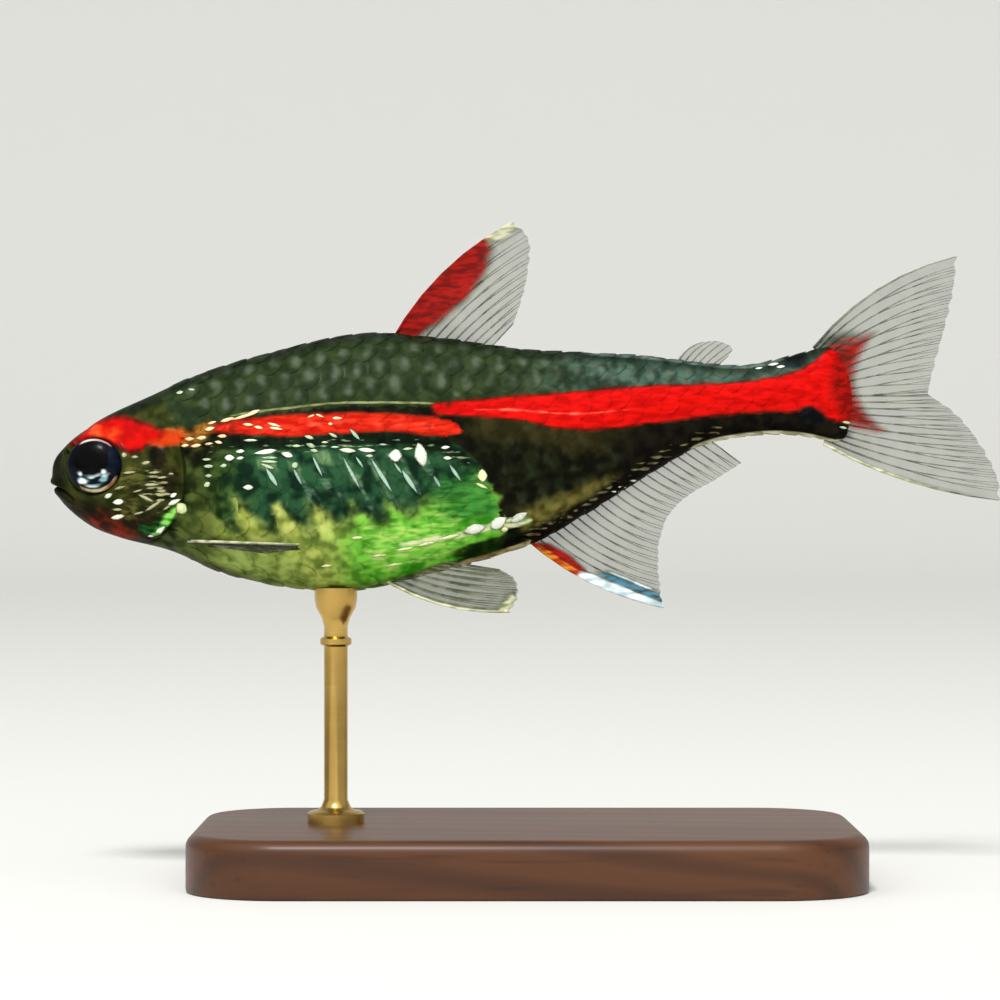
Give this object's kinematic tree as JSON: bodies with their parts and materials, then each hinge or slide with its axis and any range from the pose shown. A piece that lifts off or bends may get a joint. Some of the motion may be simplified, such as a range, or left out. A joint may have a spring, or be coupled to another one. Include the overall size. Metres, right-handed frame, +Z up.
{
  "type": "glowlight tetra",
  "caption": "Life-size still model of a small slender aquarium fish with a glowing red flank stripe, spread fins and a deeply forked tail, held by one rod on a flat wooden base.",
  "frame": {"origin": "centre of the model's outline on the plane that the base stands on", "axes": "+X along the fish from snout to tail, seen from above, +Y across it to its right, +Z up"},
  "size_m": [0.0401, 0.017, 0.0278],
  "materials": {
    "back_olive": "wet-looking painted skin, dark olive slate",
    "flank_green": "wet-looking painted skin, olive green with a red stripe",
    "gill_gold_green": "pearly gold green gill cover",
    "eye_black": "polished dark eye",
    "fin_clear_grey": "clear film with fine rays",
    "fin_dark_red": "clear film with a deep red front",
    "stand_wood": "satin walnut",
    "stand_brass": "brushed brass"
  },
  "bodies": {
    "root": {"head": "back_olive", "trunk": "flank_green", "tail_stalk": "flank_green", "gill_cover_left": "gill_gold_green", "gill_cover_right": "gill_gold_green", "eye_left": "eye_black", "eye_right": "eye_black", "dorsal_fin": "fin_dark_red", "adipose_fin": "fin_clear_grey", "anal_fin": "fin_clear_grey", "tail_fin_upper_lobe": "fin_clear_grey", "tail_fin_lower_lobe": "fin_clear_grey", "pectoral_fin_left": "fin_clear_grey", "pectoral_fin_right": "fin_clear_grey", "pelvic_fin_left": "fin_clear_grey", "pelvic_fin_right": "fin_clear_grey", "stand_base": "stand_wood", "stand_rod": "stand_brass"}
  },
  "joints": []
}
